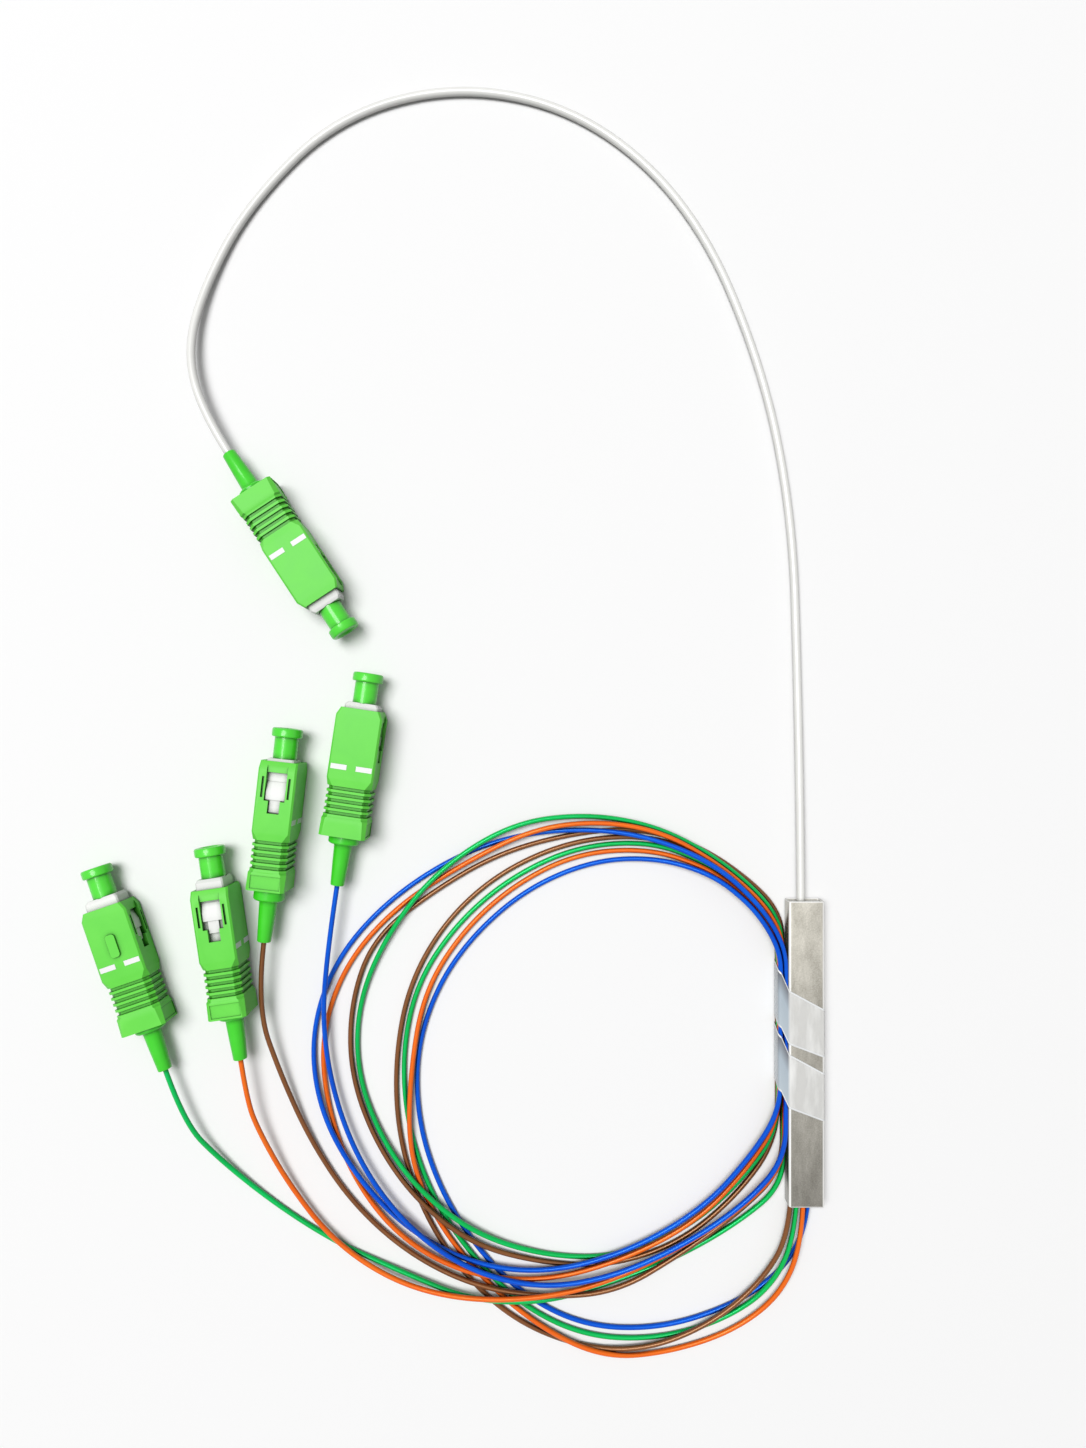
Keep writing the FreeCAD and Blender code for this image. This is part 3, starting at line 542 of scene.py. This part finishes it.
def fused_silica():
    """Polished glass block with a faint layered tint."""
    paint = bpy.data.materials.new("fused_silica")
    paint.use_nodes = True
    tree = paint.node_tree
    shader = tree.nodes["Principled BSDF"]
    shader.inputs["Roughness"].default_value = 0.08
    shader.inputs["Transmission Weight"].default_value = 0.6
    shader.inputs["IOR"].default_value = 1.46
    place = tree.nodes.new("ShaderNodeTexCoord")
    layers = tree.nodes.new("ShaderNodeTexWave")
    layers.bands_direction = "Z"
    layers.inputs["Scale"].default_value = 900
    tone = tree.nodes.new("ShaderNodeValToRGB")
    tone.color_ramp.elements[0].color = (0.72, 0.8, 0.82, 1)
    tone.color_ramp.elements[1].color = (0.86, 0.9, 0.9, 1)
    tree.links.new(place.outputs["Object"], layers.inputs["Vector"])
    tree.links.new(layers.outputs["Fac"], tone.inputs["Fac"])
    tree.links.new(tone.outputs["Color"], shader.inputs["Base Color"])
    return paint


def bare_fibre():
    """Acrylate-coated fibre: pale, glossy, with a slight drift in tone and painted shade where
    it lies close to other parts.
    """
    paint = jacket_paint("bare_fibre", (0.6, 0.6, 0.58), (0.88, 0.88, 0.86),
                         (0.3, 0.3, 0.28), (1.0, 1.0, 1.0))
    paint.node_tree.nodes["Principled BSDF"].inputs["Roughness"].default_value = 0.2
    return paint


adhesive = cast_adhesive()
silica = fused_silica()
acrylate = bare_fibre()
steel = tube_steel()
finish_node("splitter_tube", steel, 0.0002)
finish_node("inlet_seal", adhesive, 0.0001)
finish_node("outlet_seal", adhesive, 0.0001)
finish_node("chip_pad", steel, 0.00005)
finish_node("input_fibre", acrylate, 0.00002)
finish_node("output_ribbon", acrylate, 0.00003)
for name in ("input_fibre_block", "splitter_chip", "output_fibre_block"):
    finish_node(name, silica, 0.00005)


# ---- wrap ---------------------------------------------------------------------
# Clear polyester film wound in two spiral turns: it bridges from the strands to the tube and
# looks frosty where it is slack.
# Where it is drawn tight over the steel it is painted white in streaks, partly its own haze
# and partly a painted glare.
def film_paint():
    """Blue-grey over the strands, darkening to a painted shadow towards one edge of the band;
    white and hazy over the steel, partly a painted glare; a painted highlight along both
    edges.
    """
    paint = bpy.data.materials.new("wrap_film")
    paint.use_nodes = True
    tree = paint.node_tree
    shader = tree.nodes["Principled BSDF"]
    shader.inputs["Roughness"].default_value = 0.2
    shader.inputs["Coat Weight"].default_value = 0.7
    shader.inputs["Coat Roughness"].default_value = 0.06
    place = tree.nodes.new("ShaderNodeTexCoord")
    spots = tree.nodes.new("ShaderNodeSeparateXYZ")
    strip = tree.nodes.new("ShaderNodeSeparateXYZ")
    over_steel = tree.nodes.new("ShaderNodeMapRange")
    over_steel.inputs["From Min"].default_value = -0.00275
    over_steel.inputs["From Max"].default_value = -0.0023
    film_tint_and_shadow = tree.nodes.new("ShaderNodeValToRGB")
    film_tint_and_shadow.color_ramp.elements[0].color = (0.52, 0.60, 0.66, 1)
    film_tint_and_shadow.color_ramp.elements[1].position = 0.95
    film_tint_and_shadow.color_ramp.elements[1].color = (0.16, 0.17, 0.2, 1)
    middle = film_tint_and_shadow.color_ramp.elements.new(0.6)
    middle.color = (0.45, 0.53, 0.60, 1)
    tint = tree.nodes.new("ShaderNodeMix")
    tint.data_type = "RGBA"
    tint.inputs["B"].default_value = (0.95, 0.95, 0.93, 1)
    rim_highlight = tree.nodes.new("ShaderNodeValToRGB")
    rim_highlight.color_ramp.elements[0].color = (1, 1, 1, 1)
    rim_highlight.color_ramp.elements[1].color = (1, 1, 1, 1)
    for spot, level in ((0.028, 1), (0.044, 0), (0.956, 0), (0.972, 1)):
        stop = rim_highlight.color_ramp.elements.new(spot)
        stop.color = (level, level, level, 1)
    rim_highlight_mix = tree.nodes.new("ShaderNodeMix")
    rim_highlight_mix.data_type = "RGBA"
    rim_highlight_mix.inputs["B"].default_value = (0.9, 0.92, 0.93, 1)
    cloud = tree.nodes.new("ShaderNodeTexNoise")
    cloud.inputs["Scale"].default_value = 330
    cloud.inputs["Detail"].default_value = 3
    streak = tree.nodes.new("ShaderNodeMapping")
    streak.inputs["Scale"].default_value = (1, 0.22, 1)
    haze = tree.nodes.new("ShaderNodeMapRange")
    haze.inputs["From Min"].default_value = 0.38
    haze.inputs["From Max"].default_value = 0.62
    haze.inputs["To Min"].default_value = 0.5
    haze.inputs["To Max"].default_value = 0.92
    veil = tree.nodes.new("ShaderNodeMix")
    veil.inputs["A"].default_value = 0.93
    closed = tree.nodes.new("ShaderNodeMath")
    closed.operation = "MAXIMUM"
    bump = tree.nodes.new("ShaderNodeBump")
    bump.inputs["Strength"].default_value = 0.25
    bump.inputs["Distance"].default_value = 0.0002
    tree.links.new(place.outputs["Object"], spots.inputs["Vector"])
    tree.links.new(place.outputs["UV"], strip.inputs["Vector"])
    tree.links.new(place.outputs["Object"], streak.inputs["Vector"])
    tree.links.new(streak.outputs["Vector"], cloud.inputs["Vector"])
    tree.links.new(spots.outputs["X"], over_steel.inputs["Value"])
    # painted shadow: across the band the film darkens from blue-grey to near black towards one
    # edge
    tree.links.new(strip.outputs["Y"], film_tint_and_shadow.inputs["Fac"])
    tree.links.new(strip.outputs["Y"], rim_highlight.inputs["Fac"])
    # over the steel the film turns white in streaks, partly its own haze and partly a painted
    # glare
    tree.links.new(over_steel.outputs["Result"], tint.inputs["Factor"])
    tree.links.new(film_tint_and_shadow.outputs["Color"], tint.inputs["A"])
    # painted highlight: a thin near-white line along each edge of the band
    tree.links.new(rim_highlight.outputs["Color"], rim_highlight_mix.inputs["Factor"])
    tree.links.new(tint.outputs["Result"], rim_highlight_mix.inputs["A"])
    tree.links.new(rim_highlight_mix.outputs["Result"], shader.inputs["Base Color"])
    tree.links.new(cloud.outputs["Fac"], haze.inputs["Value"])
    tree.links.new(over_steel.outputs["Result"], veil.inputs["Factor"])
    tree.links.new(haze.outputs["Result"], veil.inputs["B"])
    tree.links.new(veil.outputs["Result"], closed.inputs[0])
    tree.links.new(rim_highlight.outputs["Color"], closed.inputs[1])
    tree.links.new(closed.outputs["Value"], shader.inputs["Alpha"])
    tree.links.new(cloud.outputs["Fac"], bump.inputs["Height"])
    tree.links.new(bump.outputs["Normal"], shader.inputs["Normal"])
    return paint


def film_section(low, high):
    """Points round the wrapped section from the middle of the bottom, as (x, z, drop):
    drop is how far the film slides down the tube by then, in part of one turn."""
    inset = 0.00012
    corner = 0.00055
    corner_steps = 6
    steel_side = -0.0025
    left = low.x + inset + corner
    right = high.x - inset - corner
    floor = low.z + inset + corner
    roof = high.z - inset - corner
    points = [(0.0, floor - corner, 0.0)]
    corners = (
        (left, floor, 270, 0.10, 0.12), (left, roof, 180, 0.20, 0.25),
        (right, roof, 90, 0.76, 0.78), (right, floor, 0, 0.88, 0.90),
    )
    for x, z, start, first, last in corners:
        for i in range(corner_steps + 1):
            t = i / corner_steps
            angle = math.radians(start - 90 * t)
            drop = first + (last - first) * t
            points.append((x + corner * math.cos(angle), z + corner * math.sin(angle), drop))
        if start == 180:
            # along the top: first over the strands, then over the steel
            for i in range(1, 6):
                t = i / 6
                x = left + (steel_side - left) * t
                points.append((x, roof + corner, 0.25 + 0.27 * t))
            for i in range(9):
                t = i / 9
                x = steel_side + (right - steel_side) * t
                points.append((x, roof + corner, 0.52 + 0.24 * t))
    return points


def film_wrap():
    """Walks twice round the rounded section while sliding down the tube; the band is
    drawn narrower where it is tight over the steel."""
    low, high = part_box("spiral_wrap")
    section = film_section(low, high)
    top = 0.0138
    lap = 0.0125
    slack_band = 0.011
    tight_band = 0.0094
    ripple = 0.00003
    ripples_down = 2100
    ripples_across = 9
    half_height = 0.002
    steps = 24
    bm = bmesh.new()
    strip = bm.loops.layers.uv.new("strip")
    rows = []
    for turn in range(2):
        rows += [(x, z, turn + drop) for x, z, drop in section]
    rows.append((section[0][0], section[0][1], 2.0))
    grid = []
    for x, z, slide in rows:
        y = top - lap * slide
        band = slack_band + (tight_band - slack_band) * (x - low.x) / (high.x - low.x)
        row = []
        for k in range(steps + 1):
            v = k / steps - 0.5
            wave = math.sin(y * ripples_down + v * ripples_across) * math.cos(v * 3.1)
            sag = ripple * abs(wave) if z > half_height else 0.0
            row.append(bm.verts.new((x, y + v * band, z - sag)))
        grid.append(row)
    for i, (a, b) in enumerate(zip(grid, grid[1:])):
        for k in range(steps):
            face = bm.faces.new((a[k], a[k + 1], b[k + 1], b[k]))
            spots = ((i, k), (i, k + 1), (i + 1, k + 1), (i + 1, k))
            for loop, (row, column) in zip(face.loops, spots):
                loop[strip].uv = (row / len(rows), column / steps)
    bmesh.ops.recalc_face_normals(bm, faces=bm.faces)
    mesh = bpy.data.meshes.new("film_wrap")
    bm.to_mesh(mesh)
    bm.free()
    mesh.shade_smooth()
    mesh.materials.append(film_paint())
    film = bpy.data.objects.new("film_wrap", mesh)
    scene.collection.objects.link(film)
    sheet = film.modifiers.new("sheet", "SOLIDIFY")
    sheet.thickness = 0.00008
    sheet.offset = 0
    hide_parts("spiral_wrap")
    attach(film, "splitter")


film_wrap()


# ---- plugs --------------------------------------------------------------------
# SC/APC plugs: green moulded sleeve, white frame showing in its side windows,
# green rubber boot, zirconia ferrule in a turned holder on a coil spring, and a
# push-on cap. Each plug is built about its own axis and put where its mount is.
def skin_and_corner_shade_effect():
    """Fine spark-eroded texture and slow flow marks of a moulded part, and a mask of
    its inner corners for painted shade."""
    group = bpy.data.node_groups.new("skin_and_corner_shade", "ShaderNodeTree")
    group.interface.new_socket("Flow Scale", in_out="INPUT", socket_type="NodeSocketFloat")
    group.interface.new_socket("Corner Shade Reach", in_out="INPUT", socket_type="NodeSocketFloat")
    group.interface.new_socket("Tone", in_out="OUTPUT", socket_type="NodeSocketFloat")
    group.interface.new_socket("Painted Corner Shade", in_out="OUTPUT", socket_type="NodeSocketFloat")
    group.interface.new_socket("Roughness", in_out="OUTPUT", socket_type="NodeSocketFloat")
    group.interface.new_socket("Normal", in_out="OUTPUT", socket_type="NodeSocketVector")
    tree = group.nodes
    given = tree.new("NodeGroupInput")
    place = tree.new("ShaderNodeTexCoord")
    flow = tree.new("ShaderNodeTexNoise")
    flow.inputs["Detail"].default_value = 3
    flow.inputs["Distortion"].default_value = 0.6
    texture = tree.new("ShaderNodeTexNoise")
    texture.inputs["Scale"].default_value = 5200
    texture.inputs["Detail"].default_value = 2
    rough = tree.new("ShaderNodeMapRange")
    rough.inputs["To Min"].default_value = 0.36
    rough.inputs["To Max"].default_value = 0.5
    bump = tree.new("ShaderNodeBump")
    bump.inputs["Strength"].default_value = 0.1
    bump.inputs["Distance"].default_value = 0.00004
    corner_occlusion = tree.new("ShaderNodeAmbientOcclusion")
    corner_occlusion.samples = 6
    corner_shade_mask = tree.new("ShaderNodeMapRange")
    corner_shade_mask.inputs["From Min"].default_value = 0.45
    corner_shade_mask.inputs["From Max"].default_value = 0.95
    corner_shade_mask.inputs["To Min"].default_value = 1.0
    corner_shade_mask.inputs["To Max"].default_value = 0.0
    out = tree.new("NodeGroupOutput")
    group.links.new(given.outputs["Flow Scale"], flow.inputs["Scale"])
    group.links.new(given.outputs["Corner Shade Reach"], corner_occlusion.inputs["Distance"])
    group.links.new(corner_occlusion.outputs["AO"], corner_shade_mask.inputs["Value"])
    group.links.new(corner_shade_mask.outputs["Result"], out.inputs["Painted Corner Shade"])
    group.links.new(place.outputs["Object"], flow.inputs["Vector"])
    group.links.new(place.outputs["Object"], texture.inputs["Vector"])
    group.links.new(texture.outputs["Fac"], bump.inputs["Height"])
    group.links.new(flow.outputs["Fac"], rough.inputs["Value"])
    group.links.new(flow.outputs["Fac"], out.inputs["Tone"])
    group.links.new(rough.outputs["Result"], out.inputs["Roughness"])
    group.links.new(bump.outputs["Normal"], out.inputs["Normal"])
    return group


skin_and_corner_shade = skin_and_corner_shade_effect()


def moulded_paint(name, deep, bright, shade, gloss=0.0):
    """Moulded plastic: two close tones, with painted shade where two faces meet in a corner.
    """
    paint = bpy.data.materials.new(name)
    paint.use_nodes = True
    tree = paint.node_tree
    shader = tree.nodes["Principled BSDF"]
    shader.inputs["Specular IOR Level"].default_value = 0.25
    shader.inputs["Coat Weight"].default_value = gloss
    shader.inputs["Coat Roughness"].default_value = 0.15
    effect = tree.nodes.new("ShaderNodeGroup")
    effect.node_tree = skin_and_corner_shade
    effect.inputs["Flow Scale"].default_value = 140
    effect.inputs["Corner Shade Reach"].default_value = 0.0012
    mix = tree.nodes.new("ShaderNodeMix")
    mix.data_type = "RGBA"
    mix.inputs["A"].default_value = (*deep, 1)
    mix.inputs["B"].default_value = (*bright, 1)
    tree.links.new(effect.outputs["Tone"], mix.inputs["Factor"])
    corner_shade_mix = tree.nodes.new("ShaderNodeMix")
    corner_shade_mix.data_type = "RGBA"
    corner_shade_mix.inputs["B"].default_value = (*shade, 1)
    # painted shade: the colour is pulled to the shade colour in inner corners
    tree.links.new(effect.outputs["Painted Corner Shade"], corner_shade_mix.inputs["Factor"])
    tree.links.new(mix.outputs["Result"], corner_shade_mix.inputs["A"])
    tree.links.new(corner_shade_mix.outputs["Result"], shader.inputs["Base Color"])
    tree.links.new(effect.outputs["Roughness"], shader.inputs["Roughness"])
    tree.links.new(effect.outputs["Normal"], shader.inputs["Normal"])
    return paint


def turned_metal(name, tone):
    """Bright turned metal, its shine broken up by fine tool marks."""
    paint = bpy.data.materials.new(name)
    paint.use_nodes = True
    tree = paint.node_tree
    shader = tree.nodes["Principled BSDF"]
    shader.inputs["Base Color"].default_value = (*tone, 1)
    shader.inputs["Metallic"].default_value = 1.0
    place = tree.nodes.new("ShaderNodeTexCoord")
    marks = tree.nodes.new("ShaderNodeTexNoise")
    marks.inputs["Scale"].default_value = 4000
    rough = tree.nodes.new("ShaderNodeMapRange")
    rough.inputs["To Min"].default_value = 0.15
    rough.inputs["To Max"].default_value = 0.4
    tree.links.new(place.outputs["Object"], marks.inputs["Vector"])
    tree.links.new(marks.outputs["Fac"], rough.inputs["Value"])
    tree.links.new(rough.outputs["Result"], shader.inputs["Roughness"])
    return paint


# The third colour of each is its painted corner shade.
sleeve_green = moulded_paint("sleeve_green", (0.11, 0.66, 0.055), (0.18, 0.8, 0.09),
                             (0.002, 0.08, 0.0))
cap_green = moulded_paint("cap_green", (0.05, 0.68, 0.02), (0.1, 0.82, 0.045),
                          (0.004, 0.12, 0.002), gloss=0.6)
boot_green = moulded_paint("boot_green", (0.035, 0.62, 0.012), (0.07, 0.74, 0.03),
                           (0.004, 0.12, 0.002), gloss=0.35)
frame_white = moulded_paint("frame_white", (0.82, 0.83, 0.81), (0.9, 0.9, 0.88),
                            (0.22, 0.25, 0.21), gloss=0.1)
mark_white = moulded_paint("mark_white", (0.86, 0.88, 0.86), (0.93, 0.94, 0.93),
                           (0.8, 0.82, 0.8))
zirconia = moulded_paint("zirconia", (0.86, 0.86, 0.84), (0.93, 0.93, 0.91),
                         (0.5, 0.5, 0.48), gloss=0.8)
holder_metal = turned_metal("holder_metal", (0.72, 0.7, 0.66))
spring_steel = turned_metal("spring_steel", (0.6, 0.6, 0.6))


def lathe(name, profile, steps, paint, seat, body):
    """A turned or round-moulded piece about the local Y axis, from (radius, y) points."""
    bm = bmesh.new()
    rings = []
    for radius, y in profile:
        if radius == 0:
            rings.append([bm.verts.new(seat @ Vector((0, y, 0)))])
            continue
        ring = []
        for i in range(steps):
            angle = 2 * math.pi * i / steps
            spot = Vector((radius * math.cos(angle), y, radius * math.sin(angle)))
            ring.append(bm.verts.new(seat @ spot))
        rings.append(ring)
    closed = profile[0][0] != 0
    pairs = list(zip(rings, rings[1:]))
    if closed:
        pairs.append((rings[-1], rings[0]))
    for low, high in pairs:
        for i in range(steps):
            j = (i + 1) % steps
            quad = [low[i % len(low)], low[j % len(low)],
                    high[j % len(high)], high[i % len(high)]]
            bm.faces.new(list(dict.fromkeys(quad)))
    bmesh.ops.recalc_face_normals(bm, faces=bm.faces)
    mesh = bpy.data.meshes.new(name)
    bm.to_mesh(mesh)
    bm.free()
    mesh.shade_smooth()
    mesh.set_sharp_from_angle(angle=0.6)
    mesh.materials.append(paint)
    obj = bpy.data.objects.new(name, mesh)
    scene.collection.objects.link(obj)
    edge = obj.modifiers.new("edge_radius", "BEVEL")
    edge.width = 0.0001
    edge.segments = 3
    edge.limit_method = "ANGLE"
    edge.angle_limit = 0.6
    edge.harden_normals = True
    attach(obj, body)
    return obj


mounts = {mount["name"]: mount for mount in frame["record"]["mounts"]}


def plug_seat(name, roll):
    """Where a plug's own frame stands: nose at its mount, +Y out along its axis."""
    mount = mounts[name + "_plug"]
    forward = Vector(mount["axis"])
    heading = math.atan2(forward.y, forward.x) - math.pi / 2
    turn = Matrix.Rotation(heading, 4, "Z") @ Matrix.Rotation(roll, 4, "Y")
    return Matrix.Translation(mount["pos_m"]) @ turn


def coil_spring(name, seat):
    """Five and a half turns of wire between the holder's flange and the rear body."""
    front, back = -0.00982, -0.01378
    radius = 0.00187
    wire_radius = 0.0002
    turns = 5.5
    steps = 132
    points = []
    for i in range(steps + 1):
        angle = 2 * math.pi * turns * i / steps
        y = front + (back - front) * i / steps
        points.append(seat @ Vector((radius * math.cos(angle), y, radius * math.sin(angle))))
    curve = bpy.data.curves.new(name + "_coil_spring", "CURVE")
    curve.dimensions = "3D"
    curve.bevel_depth = wire_radius
    curve.bevel_resolution = 3
    wire = curve.splines.new("POLY")
    wire.points.add(len(points) - 1)
    for point, place in zip(wire.points, points):
        point.co = (*place, 1)
    curve.materials.append(spring_steel)
    drawn = bpy.data.objects.new(name + "_wire", curve)
    coil = bpy.data.objects.new(name + "_coil_spring", bpy.data.meshes.new_from_object(drawn))
    bpy.data.objects.remove(drawn)
    scene.collection.objects.link(coil)
    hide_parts(name + "_spring")
    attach(coil, "splitter")
    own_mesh(coil)


def printed_bars(name, seat, setback):
    """Two white seating marks across each wide face of the sleeve."""
    inner, outer = 0.0009, 0.0040
    front, back = 0.0110, 0.0120
    face_height = 0.00372
    bm = bmesh.new()
    for face in (-1, 1):
        for side in (-1, 1):
            corners = ((inner, front), (outer, front), (outer, back), (inner, back))
            bm.faces.new([
                bm.verts.new(seat @ Vector((side * x, -setback - y, face * face_height)))
                for x, y in corners
            ])
    mesh = bpy.data.meshes.new(name + "_bars")
    bm.to_mesh(mesh)
    bm.free()
    mesh.materials.append(mark_white)
    bars = bpy.data.objects.new(name + "_bars", mesh)
    scene.collection.objects.link(bars)
    ink = bars.modifiers.new("ink", "SOLIDIFY")
    ink.thickness = 0.00003
    ink.offset = 0
    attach(bars, name + "_grip")
    return bars


def plug(name, roll, setback, strand_radius):
    """Dresses one plug and gives back its pieces. The outlines of the cap, boot and
    ferrule are half sections, as (radius, distance in front of the nose)."""
    seat = plug_seat(name, roll)
    cap = lathe(name + "_cap_shell", [
        (0.0013, -0.0042), (0.0023, -0.0042), (0.0023, 0.0042), (0.0028, 0.0042),
        (0.00295, 0.0044), (0.00295, 0.0056), (0.0028, 0.00588), (0.00255, 0.00595),
        (0.0019, 0.00595), (0.0015, 0.00555), (0.0006, 0.00553), (0.0002, 0.00553),
        (0.0002, 0.003), (0.0013, 0.003),
    ], 72, cap_green, seat, name + "_cap")
    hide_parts(name + "_dust_cap")
    bore = strand_radius + 0.00015
    boot = lathe(name + "_boot_shell", [
        (0.0018, -0.0246), (0.0027, -0.0246), (0.003, -0.0249), (0.003, -0.0275),
        (0.0027, -0.0278), (0.0019, -0.0278), (0.00175, -0.0283), (0.0016, -0.0315),
        (0.00135, -0.0358), (0.00128, -0.036), (bore, -0.036), (bore, -0.027),
        (0.0018, -0.027),
    ], 64, boot_green, seat, "splitter")
    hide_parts(name + "_boot")
    tip = lathe(name + "_ferrule_rod", [
        (0, -0.0093), (0.00125, -0.0093), (0.00125, 0.0007), (0.00085, 0.00105),
        (0, 0.00105),
    ], 64, zirconia, seat, name + "_ferrule_set")
    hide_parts(name + "_ferrule")
    coil_spring(name, seat)
    bars = printed_bars(name, seat, setback)
    finish_node(name + "_sleeve", sleeve_green, 0.00017)
    finish_node(name + "_plug_frame", frame_white, 0.00006)
    finish_node(name + "_rear_body", frame_white, 0.00008)
    finish_node(name + "_ferrule_holder", holder_metal, 0.00006)
    return [cap, boot, tip, bars, name + "_coil_spring", name + "_sleeve",
            name + "_plug_frame", name + "_rear_body", name + "_ferrule_holder"]


# Each plug has its turn about its own axis, and how far its sleeve stands back from
# the nose.
PLUGS = {
    "input": (math.pi, 0.0018),
    "blue": (math.pi, 0.0012),
    "brown": (-math.pi / 2, 0.0005),
    "orange": (-math.pi / 2, 0.0019),
    "green": (0.0, 0.0019),
}
for key, (roll, setback) in PLUGS.items():
    route, radius, length, _ = TAILS[key]
    pieces = plug(key, roll, setback, radius)
